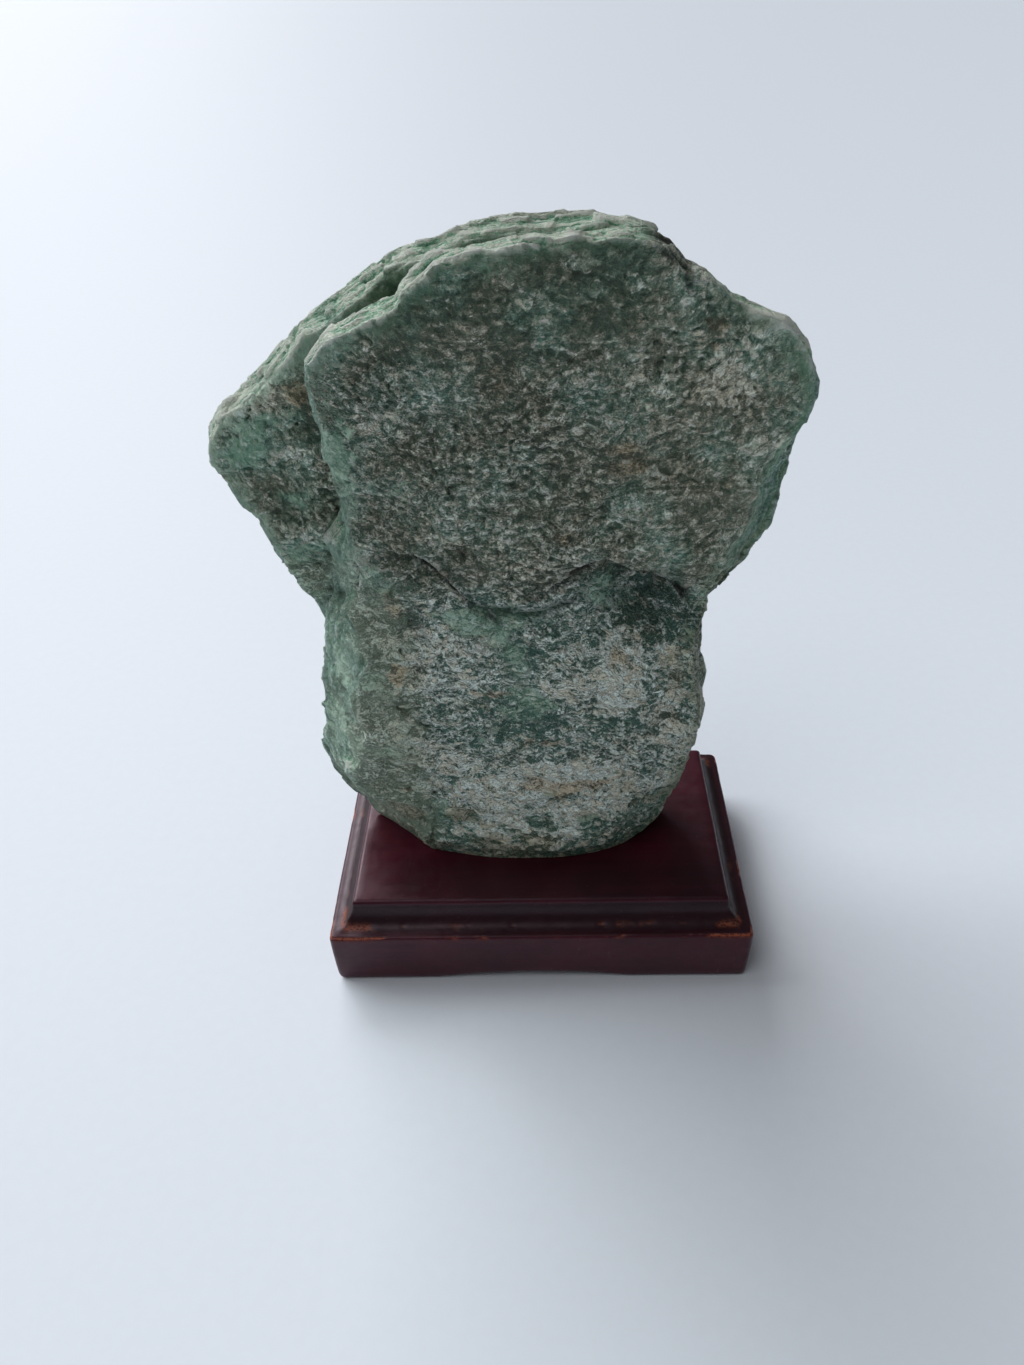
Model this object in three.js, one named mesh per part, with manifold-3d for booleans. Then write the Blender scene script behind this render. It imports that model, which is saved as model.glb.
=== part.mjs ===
// A raw slab of fuchsite (green mica schist) standing on edge in a carved wooden stand.
// Units are millimetres, +Z is up, the broad front face of the stone looks along -Y.
// The origin lies under the middle of the whole object, on the surface it stands on.

import * as THREE from "three";
import { mergeVertices } from "three/addons/utils/BufferGeometryUtils.js";
import Module from "manifold-3d";

// ---- Stand: driving dimensions ----
const STAND_WIDTH = 100;
const STAND_DEPTH = 64;
const STAND_HEIGHT = 22.5;
const PLINTH_HEIGHT = 16; // the outer block, up to the narrow ledge
const LEDGE_WIDTH = 1.2; // the flat step between the plinth and the cove
const COVE_WIDTH = 4.3; // how far the hollow riser runs inwards
const TOP_ROUND = 1.2; // rounding of the top surface's edge
const EDGE_ROUND = 0.7; // rounding of the plinth's edges
const PLINTH_TAPER = 0.5; // the plinth's foot is set in by this much, on a rounded line
const CORNER_RADIUS = 1.3;
const CORNER_RADIUS_MIN = 0.8; // the corners get tighter up the moulding
const CORNER_TIGHTENING = 0.1;
const CORNER_STEPS = 4;
const COVE_STEPS = 7;
const ARCH_LENGTH = 47; // the shallow arch under the long sides
const ARCH_RISE = 1.9;
const ARCH_STEPS = 10;
const ARCH_CENTRE_X = -2;

// ---- Stone: driving dimensions ----
const STONE_FOOT_Z = 15; // underside of the stone, inside its socket
const SEAT_GAP = 0.35; // clearance of the socket all round the stone's foot
const FRONT_Y = -13.3; // face of the upper front layer
const LUMP_FRONT_Y = -13; // face of the lower lump, before its belly
const PARTING_Y = 0; // plane between the front layers and the back slab
const BACK_Y = 11.5; // face of the back slab
const LAYER_OVERLAP = 2; // how far one layer runs into the next where they are grown together
const LUMP_BURIAL = 3; // how far the lump's hidden back stays short of that face
const LEAF_THICKNESS = 2.6; // the thin layer left on the back
const CHIP_DEPTH = 0.55; // how far the broken outline jumps in and out
const CHIP_PACE = 2.7; // radians of the chipping wave from one step of the outline to the next
const BEVEL_SHARES = [0.15, 0.45, 1]; // rings across a bevel
const FACE_SHARES = [0.13, 0.34, 0.6, 0.82]; // rings from the bevel to the middle of a face

// Waves of a split face: the height, the length in x and z of one radian, and the share of
// the phase, so that they never run together twice in the same way.
const SWELL_WAVES = [
  { height: 0.45, lengthX: 13, lengthZ: 19, turn: 1 },
  { height: 0.25, lengthX: 6.1, lengthZ: -9.3, turn: 2.1 },
  { height: 0.15, lengthX: 3.7, lengthZ: 3.1, turn: 3.7 },
];

// Changes that come in gradually, by this much, as x or z runs from one place to another.
const TIP_LEAN_X = { from: -50, to: -62, by: 1.2 }; // the back slab's left tip leans forward
const SLAB_FOOT_Z = { from: 60, to: 15, by: 2.5 }; // the back slab is thinner at its foot
const SLAB_RIGHT_X = { from: 20, to: 55, by: 2 }; // and towards its right edge
const LEAF_RIGHT_X = { from: 25, to: 55, by: 1.5 }; // as is the thin layer on the back
const GAPE_X = { from: 34, to: 5, by: 1 }; // leftwards the layers gape at their edges
const SHOULDER_X = { from: 21, to: 31, by: 1 }; // the front layer's right shoulder is thin
const SHOULDER_Z = { from: 116, to: 130, by: 1 };
const PEAK_X = { from: -17, to: -6, by: 0.7 }; // and so is its upper edge under the peak
const PEAK_Z = { from: 140, to: 155, by: 1 };
const RIGHT_BEVEL_X = { from: 30, to: 40, by: 4.5 }; // wide bevel down its right edge
const RIGHT_BEVEL_Z = { from: 146, to: 126, by: 1 };
const BARREL_Z = { from: 65, to: 20, by: 1 }; // the lump's front rounds off below its belly
const SET_BACK_Z = { from: 80, to: 95, by: 2.2 }; // and lies further back under the front layer
const LUMP_BACK_Z = { from: 90, to: 120, by: 3 }; // the lump's hidden back slopes forward
const LUMP_FOOT_Z = { from: 60, to: 20, by: 2 }; // its bevel is wider at the foot
const LUMP_CORNER_Z = { from: 128, to: 92, by: 8 }; // and widest at the upper left corner
const LUMP_CORNER_X = { from: -22, to: -44, by: 1 };

// Round swellings and hollows of the faces: the middle, the radii and how far back they reach.
const BELLY = { x: 0, z: 60, rx: 30, rz: 28, by: -1.6 };
const HOLLOW = { x: 23.5, z: 97, rx: 8, rz: 11, by: 8 }; // between the lump and the front layer
const SUNK_CORNER = { x: -36, z: 111, rx: 9, rz: 11, by: 2.2 }; // the front layer's lower left
const GROWN_ON = { x: -38, z: 112, rx: 9, rz: 20, by: 1 }; // there the lump grows up to it
const GROWN_SHARE = 0.75; // share of the set-back that is missing there

const BARREL_RIGHT = 0.009; // curvature of the lump's front towards its right side
const BARREL_LEFT = 0.0045;
const SIDE_FALL = { x: -5, reach: 42, by: 3 }; // the lump's front falls away at both sides

// Where the edge of the front layer comes to a crest, as a share of its thickness.
const BROKEN_CREST = 0.38;
const GROWN_CREST = 0.3; // added where the layers are grown together
const CREST_SWAY = 0.06;
const THIN_CREST = 0.14;
const SLAB_CREST = 0.55; // the same for the back slab
const SLAB_CREST_SWAY = 0.12;

// Outlines of the layers as [x, z], anticlockwise as seen from the front.
const BACK_SLAB_OUTLINE = [
  [28, 23], [33, 36], [35.5, 56], [35, 80], [37, 86], [44.5, 96.5], [49, 105], [50.8, 112],
  [51, 118], [52.4, 126], [51.8, 132], [49, 138], [45, 142], [40, 144.5], [34, 149],
  [29, 153], [25.5, 158.5], [21.5, 163.4], [9, 164.6], [2, 164.2], [-6, 164.6], [-17, 161.2],
  [-23, 159.4], [-31, 154.8], [-43.5, 146.3], [-48, 141], [-60.5, 132], [-63.6, 127],
  [-61, 116.5], [-57.8, 110], [-55.8, 101], [-47.5, 86.5], [-45, 78], [-46.5, 60], [-46, 47],
  [-40, 31], [-33, 22], [-18, 17.5], [0, STONE_FOOT_Z + 1], [17, 17.5],
];
const FRONT_LAYER_OUTLINE = [
  [33.5, 92], [38, 96.4], [44.8, 108], [46.8, 115], [47.4, 122], [48.9, 129], [50.6, 136],
  [50.6, 140.5], [48.4, 146], [46, 150], [42, 151.7], [38.5, 152.9], [34.6, 154.4],
  [32.3, 157.7], [28, 159.9], [21.5, 164.2], [9.5, 165.4],
  [2.5, 164.9], [-7, 164], [-14, 162.4], [-19.2, 158.8], [-20.8, 156.3], [-28, 153.4],
  [-35.6, 149.2], [-38.9, 144], [-38.5, 136], [-37, 124], [-35, 114], [-31, 107.3],
  [-24, 107.7], [-18.5, 104.3], [-11.6, 95.8], [-3, 94.4], [1, 97], [7, 102.3], [14, 105.8],
  [22, 103], [29, 99.3],
];
const LOWER_LUMP_OUTLINE = [
  [31.5, 23.5], [36.4, 38], [38, 50], [38.4, 70], [36.8, 79], [36.6, 88], [38, 96],
  [32, 110], [14, 118], [-10, 122], [-26, 128], [-34, 126], [-37, 118], [-39, 110],
  [-43.8, 97], [-45.9, 87], [-46.3, 80], [-49, 69], [-50.4, 58], [-52.6, 49.5], [-52.1, 42],
  [-49.4, 34], [-44.2, 26], [-37.5, 19.5], [-20, STONE_FOOT_Z + 0.3], [4, STONE_FOOT_Z],
  [20, 16.8],
];
const BACK_LEAF_OUTLINE = [
  [25, 29], [31, 44], [33, 60], [33, 80], [42, 97], [48, 108], [49, 119], [52.5, 130],
  [49.5, 141], [40, 146.5], [32, 152], [23, 159], [8, 162.5], [-7, 161.5], [-11, 151],
  [-19, 142], [-15, 129], [-24, 117], [-31, 104], [-27, 89], [-35, 75], [-31, 59], [-37, 45],
  [-29, 32], [-12, 27], [8, 26],
];

const STONE_COLOUR = 0x5f8572;
const STAND_COLOUR = 0x3a1518;

const wasm = await Module();
wasm.setup();

// ---- Small helpers ----

/** Smooth step from 0 to 1 as t runs from start to end, which may lie either way round. */
function ease(t, start, end) {
  const share = THREE.MathUtils.clamp((t - start) / (end - start), 0, 1);
  return share * share * (3 - 2 * share);
}

/** The share of a gradual change that has come in at t. */
function ramp(t, change) {
  return change.by * ease(t, change.from, change.to);
}

/** The height of a round swelling at (x, z), fading over its radii. */
function bump(x, z, swelling) {
  const across = (x - swelling.x) / swelling.rx;
  const up = (z - swelling.z) / swelling.rz;
  return swelling.by * Math.exp(-(across ** 2) - up ** 2);
}

/** Gentle swell of a split rock face, a few waves on top of each other. */
function swell(x, z, phase) {
  return SWELL_WAVES.reduce((sum, { height, lengthX, lengthZ, turn }) => (
    sum + height * Math.sin(x / lengthX + z / lengthZ + turn * phase)
  ), 0);
}

/** How far the outline is chipped at its step i, between -1 and 1. */
function chip(i) {
  const minor = 0.7;
  const beat = Math.sin(i * CHIP_PACE) + minor * Math.sin(i * 5.3 + 1);
  return beat / (1 + minor);
}

/** Joins closed rings of equal length into one skin, closed by a fan to a point at each end. */
function loft(rings, firstPoint, lastPoint) {
  const count = rings[0].length;
  const points = [firstPoint, ...rings.flat(), lastPoint];
  const last = points.length - 1;
  const index = [];
  for (let i = 0; i < count; i += 1) {
    const next = (i + 1) % count;
    index.push(0, 1 + next, 1 + i);
    for (let ring = 0; ring < rings.length - 1; ring += 1) {
      const low = 1 + ring * count;
      const high = low + count;
      index.push(low + i, low + next, high + next);
      index.push(low + i, high + next, high + i);
    }
    const top = 1 + (rings.length - 1) * count;
    index.push(last, top + i, top + next);
  }
  const geometry = new THREE.BufferGeometry().setFromPoints(points);
  geometry.setIndex(index);
  return geometry;
}

function toSolid(geometry) {
  const bare = geometry.clone();
  bare.deleteAttribute("normal");
  bare.deleteAttribute("uv");
  const welded = mergeVertices(bare);
  const vertProperties = new Float32Array(welded.attributes.position.array);
  const triVerts = new Uint32Array(welded.index.array);
  return new wasm.Manifold(new wasm.Mesh({ numProp: 3, vertProperties, triVerts }));
}

function toGeometry(solid) {
  const mesh = solid.getMesh();
  const geometry = new THREE.BufferGeometry();
  geometry.setAttribute("position", new THREE.BufferAttribute(mesh.vertProperties, 3));
  geometry.setIndex(new THREE.BufferAttribute(mesh.triVerts, 1));
  geometry.computeVertexNormals();
  return geometry;
}

// ---- The stone's layers ----

/**
 * One layer of the rock: an outline in the XZ plane between a front and a back face.
 * The faces bend to a crest along the outline, over the widths frontBevel and backBevel;
 * the crest lies at the share crest of the thickness, and grow swells the whole layer.
 * A round of 1 gives straight bevels, and 2 or more rounded ones.
 */
function layer({
  outline, centre, front, back, frontBevel, backBevel, crest, steps, round = 1.8, grow = 0,
}) {
  const corners = outline.map(([x, z]) => new THREE.Vector3(x, 0, z));
  const curve = new THREE.CatmullRomCurve3(corners, true, "centripetal");
  const hub = new THREE.Vector3(centre[0], 0, centre[1]);
  const rim = curve.getSpacedPoints(steps).slice(0, steps).map((edge, i) => {
    const inward = hub.clone().sub(edge).normalize();
    return edge.addScaledVector(inward, CHIP_DEPTH * chip(i));
  });

  const setDepth = (spot, cover, side) => {
    const frontY = front(spot.x, spot.z) - grow;
    const backY = back(spot.x, spot.z) + grow;
    const crestY = frontY + (backY - frontY) * crest(spot.x, spot.z);
    spot.y = crestY + ((side < 0 ? frontY : backY) - crestY) * cover;
    return spot;
  };
  const spotInside = (edge, inset) => {
    const inward = hub.clone().sub(edge).normalize();
    return edge.clone().addScaledVector(inward, inset - grow);
  };
  const bevelRing = (share, side) => rim.map((edge) => {
    const bevel = side < 0 ? frontBevel(edge.x, edge.z) : backBevel(edge.x, edge.z);
    const cover = 1 - (1 - share) ** round;
    return setDepth(spotInside(edge, share * bevel), cover, side);
  });
  const faceRing = (share, side) => rim.map((edge) => {
    const bevel = side < 0 ? frontBevel(edge.x, edge.z) : backBevel(edge.x, edge.z);
    const reach = hub.distanceTo(edge) + grow - bevel;
    return setDepth(spotInside(edge, bevel + share * reach), 1, side);
  });
  const skin = (side) => [
    ...BEVEL_SHARES.map((share) => bevelRing(share, side)),
    ...FACE_SHARES.map((share) => faceRing(share, side)),
  ];
  const crestRing = bevelRing(0, -1);
  const rings = [...skin(1).reverse(), crestRing, ...skin(-1)];
  return loft(rings, setDepth(hub.clone(), 1, 1), setDepth(hub.clone(), 1, -1));
}

/** 1 on the right shoulder, where the front layer thins to an edge. */
function shoulder(x, z) {
  return ramp(x, SHOULDER_X) * ramp(z, SHOULDER_Z);
}

/** 0 along the right edge, where the layers are grown together, to 1 where they gape. */
function gape(x) {
  return ramp(x, GAPE_X);
}

function backSlab(grow = 0) {
  return layer({
    outline: BACK_SLAB_OUTLINE,
    centre: [0, 105],
    front: (x, z) => PARTING_Y + swell(x, z, 0.4) - ramp(x, TIP_LEAN_X),
    back: (x, z) => BACK_Y + swell(x, z, 1.9) - ramp(z, SLAB_FOOT_Z) - ramp(x, SLAB_RIGHT_X),
    frontBevel: (x) => 1.2 + gape(x),
    backBevel: () => 3,
    crest: (x, z) => SLAB_CREST + SLAB_CREST_SWAY * Math.sin(x / 7 + z / 5),
    steps: 88,
    grow,
  });
}

function frontLayer() {
  return layer({
    outline: FRONT_LAYER_OUTLINE,
    centre: [5, 130],
    front: (x, z) => FRONT_Y + swell(x, z, 3.1) * 0.7 + bump(x, z, SUNK_CORNER),
    back: () => PARTING_Y + LAYER_OVERLAP,
    frontBevel: (x, z) => 0.9 + ramp(x, RIGHT_BEVEL_X) * ramp(z, RIGHT_BEVEL_Z),
    backBevel: (x, z) => 1.5 + 4 * gape(x) + 6 * shoulder(x, z),
    crest: (x, z) => {
      const sway = CREST_SWAY * Math.sin(x / 4 - z / 6);
      const broken = BROKEN_CREST + GROWN_CREST * (1 - gape(x)) + sway;
      const thin = Math.max(shoulder(x, z), ramp(x, PEAK_X) * ramp(z, PEAK_Z));
      return broken + (THIN_CREST - broken) * thin;
    },
    steps: 84,
  });
}

/** Front face of the lower lump: a belly, a set-back under the front layer and a hollow. */
function lumpFace(x, z) {
  const barrel = (x > 0 ? BARREL_RIGHT : BARREL_LEFT) * x * x * ramp(z, BARREL_Z);
  const sides = SIDE_FALL.by * ((x - SIDE_FALL.x) / SIDE_FALL.reach) ** 4;
  const setBack = ramp(z, SET_BACK_Z) * (1 - GROWN_SHARE * bump(x, z, GROWN_ON));
  const rounded = LUMP_FRONT_Y + bump(x, z, BELLY) + barrel + sides;
  return rounded + setBack + bump(x, z, HOLLOW) + swell(x, z, 5.2) * 0.6;
}

function lowerLump(grow = 0) {
  return layer({
    outline: LOWER_LUMP_OUTLINE,
    centre: [-4, 66],
    front: lumpFace,
    back: (x, z) => BACK_Y - LUMP_BURIAL - ramp(z, LUMP_BACK_Z),
    frontBevel: (x, z) => (
      3 + ramp(z, LUMP_FOOT_Z) + ramp(z, LUMP_CORNER_Z) * ramp(x, LUMP_CORNER_X)
    ),
    backBevel: () => 6,
    crest: () => 0.55,
    steps: 80,
    round: 1.25,
    grow,
  });
}

function backLeaf() {
  return layer({
    outline: BACK_LEAF_OUTLINE,
    centre: [10, 100],
    front: () => BACK_Y - LAYER_OVERLAP - 2,
    back: (x, z) => BACK_Y + LEAF_THICKNESS + swell(x, z, 2.6) * 0.8 - ramp(x, LEAF_RIGHT_X),
    frontBevel: () => 1,
    backBevel: () => 1.8,
    crest: () => 0.55,
    steps: 64,
  });
}

function stone() {
  const layers = [backSlab(), frontLayer(), lowerLump(), backLeaf()].map(toSolid);
  return layers.reduce((whole, next) => whole.add(next));
}

// ---- The stand ----

/** A ring of the stand at height z, a rectangle with rounded corners, inset from the plinth. */
function standRing(inset, z) {
  const halfX = STAND_WIDTH / 2 - inset;
  const halfY = STAND_DEPTH / 2 - inset;
  const radius = Math.max(CORNER_RADIUS - inset * CORNER_TIGHTENING, CORNER_RADIUS_MIN);
  const ring = [];
  for (let corner = 0; corner < 4; corner += 1) {
    const signX = corner === 0 || corner === 3 ? 1 : -1;
    const signY = corner < 2 ? 1 : -1;
    for (let step = 0; step <= CORNER_STEPS; step += 1) {
      const angle = (corner + step / CORNER_STEPS) * (Math.PI / 2);
      const x = signX * (halfX - radius) + radius * Math.cos(angle);
      const y = signY * (halfY - radius) + radius * Math.sin(angle);
      ring.push(new THREE.Vector3(x, y, z));
    }
  }
  return ring;
}

/** The stand's moulding from the underside to the top, as [inset, z] pairs. */
function mouldingProfile() {
  const side = (z) => PLINTH_TAPER * (1 - z / PLINTH_HEIGHT) ** 2;
  const profile = [
    [side(0) + EDGE_ROUND, 0],
    [side(0) + EDGE_ROUND * 0.3, EDGE_ROUND * 0.3],
    [side(0), EDGE_ROUND],
    [side(PLINTH_HEIGHT / 3), PLINTH_HEIGHT / 3],
    [side((PLINTH_HEIGHT * 2) / 3), (PLINTH_HEIGHT * 2) / 3],
    [0, PLINTH_HEIGHT - EDGE_ROUND],
    [EDGE_ROUND * 0.3, PLINTH_HEIGHT - EDGE_ROUND * 0.3],
    [EDGE_ROUND, PLINTH_HEIGHT],
  ];
  const coveBottom = PLINTH_HEIGHT + 0.2;
  const coveTop = STAND_HEIGHT - TOP_ROUND;
  for (let step = 0; step <= COVE_STEPS; step += 1) {
    const angle = (step / COVE_STEPS) * (Math.PI / 2);
    const inset = LEDGE_WIDTH + COVE_WIDTH * Math.sin(angle);
    const z = coveBottom + (coveTop - coveBottom) * (1 - Math.cos(angle));
    profile.push([inset, z]);
  }
  const topInset = LEDGE_WIDTH + COVE_WIDTH;
  profile.push([topInset + TOP_ROUND * 0.3, STAND_HEIGHT - TOP_ROUND * 0.3]);
  profile.push([topInset + TOP_ROUND, STAND_HEIGHT]);
  return profile;
}

function standBlock() {
  const rings = mouldingProfile().map(([inset, z]) => standRing(inset, z));
  return loft(rings, new THREE.Vector3(0, 0, 0), new THREE.Vector3(0, 0, STAND_HEIGHT));
}

/** The shallow arch cut through under the block, from front to back. */
function archCutter() {
  const shape = new THREE.Shape();
  const half = ARCH_LENGTH / 2;
  const below = -1;
  shape.moveTo(-half, below);
  shape.lineTo(half, below);
  for (let step = 0; step <= ARCH_STEPS; step += 1) {
    const share = 1 - (2 * step) / ARCH_STEPS;
    shape.lineTo(half * share, ARCH_RISE * Math.cos((share * Math.PI) / 2));
  }
  const depth = STAND_DEPTH + 2;
  const geometry = new THREE.ExtrudeGeometry(shape, { depth, bevelEnabled: false });
  geometry.rotateX(Math.PI / 2);
  geometry.translate(ARCH_CENTRE_X, depth / 2, 0);
  return geometry;
}

function stand() {
  const block = toSolid(standBlock());
  const arched = block.subtract(toSolid(archCutter()));
  const foot = toSolid(lowerLump(SEAT_GAP)).add(toSolid(backSlab(SEAT_GAP)));
  return arched.subtract(foot);
}

// ---- The object ----

function namedMesh(name, solid, material) {
  const mesh = new THREE.Mesh(toGeometry(solid), material);
  mesh.name = name;
  return mesh;
}

const stoneMaterial = new THREE.MeshStandardMaterial({
  color: STONE_COLOUR,
  roughness: 0.72,
  metalness: 0,
});
const standMaterial = new THREE.MeshStandardMaterial({
  color: STAND_COLOUR,
  roughness: 0.38,
  metalness: 0,
});

const object = new THREE.Group();
object.add(namedMesh("fuchsite_stone", stone(), stoneMaterial));
object.add(namedMesh("wooden_stand", stand(), standMaterial));

// Move the middle of the whole object's base to the origin.
const box = new THREE.Box3().setFromObject(object);
const middle = box.getCenter(new THREE.Vector3());
object.position.set(-middle.x, -middle.y, -box.min.z);

export default object;
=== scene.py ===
import math
from collections import namedtuple

import bmesh
import bpy
import numpy as np
from mathutils import Matrix, Vector


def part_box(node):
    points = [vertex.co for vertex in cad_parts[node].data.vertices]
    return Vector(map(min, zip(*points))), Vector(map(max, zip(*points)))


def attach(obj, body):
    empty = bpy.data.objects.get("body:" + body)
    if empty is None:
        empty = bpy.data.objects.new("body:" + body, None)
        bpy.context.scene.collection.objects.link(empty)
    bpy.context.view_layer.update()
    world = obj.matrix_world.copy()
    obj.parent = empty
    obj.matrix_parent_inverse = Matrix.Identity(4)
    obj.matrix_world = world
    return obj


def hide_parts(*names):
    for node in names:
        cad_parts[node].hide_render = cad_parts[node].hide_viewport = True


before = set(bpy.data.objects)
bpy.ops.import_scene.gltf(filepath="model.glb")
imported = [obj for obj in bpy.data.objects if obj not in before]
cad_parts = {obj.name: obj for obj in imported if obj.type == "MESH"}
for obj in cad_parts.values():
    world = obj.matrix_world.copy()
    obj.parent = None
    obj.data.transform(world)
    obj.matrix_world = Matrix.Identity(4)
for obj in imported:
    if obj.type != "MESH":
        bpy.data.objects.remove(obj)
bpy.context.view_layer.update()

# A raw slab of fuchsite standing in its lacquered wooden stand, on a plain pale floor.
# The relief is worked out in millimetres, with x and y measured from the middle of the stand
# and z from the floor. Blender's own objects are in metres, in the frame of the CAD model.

MM = 0.001
STONE_NODE = "fuchsite_stone"
STAND_NODE = "wooden_stand"
stand_low, stand_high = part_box(STAND_NODE)
STAND_MIDDLE = np.array([(stand_low.x + stand_high.x) / 2, (stand_low.y + stand_high.y) / 2, 0]) / MM
STAND_TOP = stand_high.z / MM

STONE_VOXEL = 0.4
STONE_FACES = 190000
SEED = 7
TINY = 1e-9  # least length to divide by
FAR = 1e9  # a size so large that nothing changes along it

# ---- Noise that is the same on every run, and other shapes for the relief ----


def lattice(corner, seed):
    """A number from 0 to 1 for each whole-numbered point, the same on every run."""
    x, y, z = (corner[..., axis].astype(np.int64) for axis in range(3))
    mixed = (x * 73856093) ^ (y * 19349663) ^ (z * 83492791) ^ (seed * 50331653)
    mixed = (mixed ^ (mixed >> 13)) * 1274126177 & 0xFFFFFFFF
    mixed = (mixed ^ (mixed >> 16)) * 668265263 & 0xFFFFFFFF
    return (mixed ^ (mixed >> 15)) / 0xFFFFFFFF


def noise(points, seed):
    """Smooth noise from -1 to 1, with features about one unit across."""
    base = np.floor(points)
    share = points - base
    share = share * share * (3 - 2 * share)
    total = np.zeros(len(points))
    for corner in np.ndindex(2, 2, 2):
        weight = np.prod(np.where(corner, share, 1 - share), axis=1)
        total += weight * lattice(base + corner, seed)
    return total * 2 - 1


def fractal(points, seed, octaves=3):
    """Noise with finer and finer noise on top of it."""
    total = np.zeros(len(points))
    for octave in range(octaves):
        total += noise(points * 2**octave + octave * 17.3, seed + octave) / 2**octave
    return total


def cells(points, seed):
    """For each point, the random number of its nearest cell and its place in that cell."""
    base = np.floor(points)
    nearest = np.full(len(points), np.inf)
    number = np.zeros(len(points))
    place = np.zeros_like(points)
    for step in np.ndindex(3, 3, 3):
        corner = base + step - 1
        jitter = np.stack([lattice(corner, seed + axis) for axis in range(3)], axis=1)
        away = points - corner - jitter
        distance = (away**2).sum(axis=1)
        closer = distance < nearest
        nearest[closer] = distance[closer]
        place[closer] = away[closer]
        number[closer] = lattice(corner, seed + 3)[closer]
    return number, place


def ease(value, start, end):
    """Smooth step from 0 to 1 as value runs from start to end, which may lie either way round."""
    share = np.clip((value - start) / (end - start), 0, 1)
    return share * share * (3 - 2 * share)


def bump(points, x, z, width, height):
    """A round bump of height 1 at (x, z) on the stone's face."""
    return np.exp(-(((points[:, 0] - x) / width) ** 2) - ((points[:, 2] - z) / height) ** 2)


def from_line(points, line):
    """Distance of each point from a line of [x, z] corners, and how far it lies above the line."""
    spot = points[:, [0, 2]]
    nearest = np.full(len(points), np.inf)
    above = np.zeros(len(points))
    for start, end in zip(np.array(line[:-1], float), np.array(line[1:], float)):
        run = end - start
        share = np.clip((spot - start) @ run / (run @ run), 0, 1)
        away = spot - start - share[:, None] * run
        distance = np.hypot(away[:, 0], away[:, 1])
        closer = distance < nearest
        nearest[closer] = distance[closer]
        above[closer] = away[closer, 1]
    return nearest, above


# ---- Meshes as arrays ----


def points_of(mesh):
    """The mesh's vertices in mm, from the middle of the stand on the floor."""
    flat = np.empty(len(mesh.vertices) * 3)
    mesh.vertices.foreach_get("co", flat)
    return flat.reshape(-1, 3) / MM - STAND_MIDDLE


def put_points(mesh, points):
    mesh.vertices.foreach_set("co", ((points + STAND_MIDDLE) * MM).astype(np.float32).ravel())
    mesh.update()


def normals_of(mesh):
    flat = np.empty(len(mesh.vertices) * 3)
    mesh.vertex_normals.foreach_get("vector", flat)
    return flat.reshape(-1, 3)


def edges_of(mesh):
    flat = np.empty(len(mesh.edges) * 2, np.int64)
    mesh.edges.foreach_get("vertices", flat)
    return flat.reshape(-1, 2)


def around(values, edges):
    """The mean of each vertex's neighbours."""
    count = len(values)
    ends = np.concatenate([edges[:, 0], edges[:, 1]])
    others = np.concatenate([edges[:, 1], edges[:, 0]])
    links = np.maximum(np.bincount(ends, minlength=count), 1)
    if values.ndim == 1:
        return np.bincount(ends, values[others], count) / links
    columns = [np.bincount(ends, values[others, axis], count) for axis in range(values.shape[1])]
    return np.stack(columns, axis=1) / links[:, None]


def spread(values, edges, times):
    """Values smoothed along the mesh, as many times over as given."""
    for _ in range(times):
        values = (values + around(values, edges)) / 2
    return values


def keep_number(mesh, name, values):
    """Stores a number per vertex for the materials to read."""
    attribute = mesh.attributes.new(name, "FLOAT", "POINT")
    attribute.data.foreach_set("value", values.astype(np.float32))


def with_modifiers(piece, *kinds):
    """Adds modifiers given as (type, settings) to a piece and turns them into its mesh."""
    for kind, settings in kinds:
        modifier = piece.modifiers.new(kind.title(), kind)
        for setting, value in settings.items():
            setattr(modifier, setting, value)
    view = bpy.context.evaluated_depsgraph_get()
    old = piece.data
    piece.data = bpy.data.meshes.new_from_object(piece.evaluated_get(view))
    piece.modifiers.clear()
    bpy.data.meshes.remove(old)
    piece.data.name = piece.name


def copy_of(node, name):
    """A new object with the mesh of a CAD node, which itself stays as it is."""
    piece = bpy.data.objects.new(name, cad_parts[node].data.copy())
    piece.data.materials.clear()
    bpy.context.scene.collection.objects.link(piece)
    return piece


# ---- The stone's shape ----

SHEET = 1.5  # mean thickness of the rock's thin layers
FLAKE = np.array([2.2, 1.6, 1.4])  # length, depth and width of a raised mica flake
GRAIN_STEP = 13  # degrees between neighbouring patches of flakes
GRAIN_PATCH = 7  # mm across a patch in which the flakes lie one way
FAN_LOW, FAN_HIGH = 92, 108  # heights between which the lump's grain turns into the face's
LUMP_DIP = -12  # degrees that the lump's flakes dip at its middle
LUMP_FAN = -0.6  # degrees that they turn for each mm to the right
LUMP_TOP, LUMP_FULL = 104, 94  # heights between which the face's colours turn into the lump's
CREST_LOW, CREST_HIGH = 138, 156  # heights between which the face's colours turn into the top's

# Cracks and ridges on the front as (x, z) corners.
CRACK = [
    (-31.2, 106.1), (-26.9, 106), (-23.9, 106.8), (-19.8, 104.3), (-16.9, 101.2), (-14, 97.4),
    (-11.6, 94.5), (-8.9, 93.5), (-2, 93.1), (3.4, 93.8), (8.5, 95.6),
]
HOLLOW_EDGE = [
    (-0.3, 97.3), (7.2, 101.5), (9.7, 103.2), (13.4, 104.9), (16.5, 104.4), (22.8, 101.5),
    (28.2, 99.1), (30, 98),
]
SMALL_CRACK = [(-9.6, 92.3), (-8, 92.2), (-6.5, 90.3)]
FLANK_RIDGE = [
    (-32.8, 108.9), (-32.1, 100.4), (-33.6, 94.7), (-35.8, 88.3), (-36.5, 80.1), (-36.9, 68.3),
    (-40.1, 62), (-41, 50), (-38, 38),
]
SHOULDER_CRACK = [(22.5, 163), (26.5, 160.2), (27.5, 157.6)]


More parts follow.
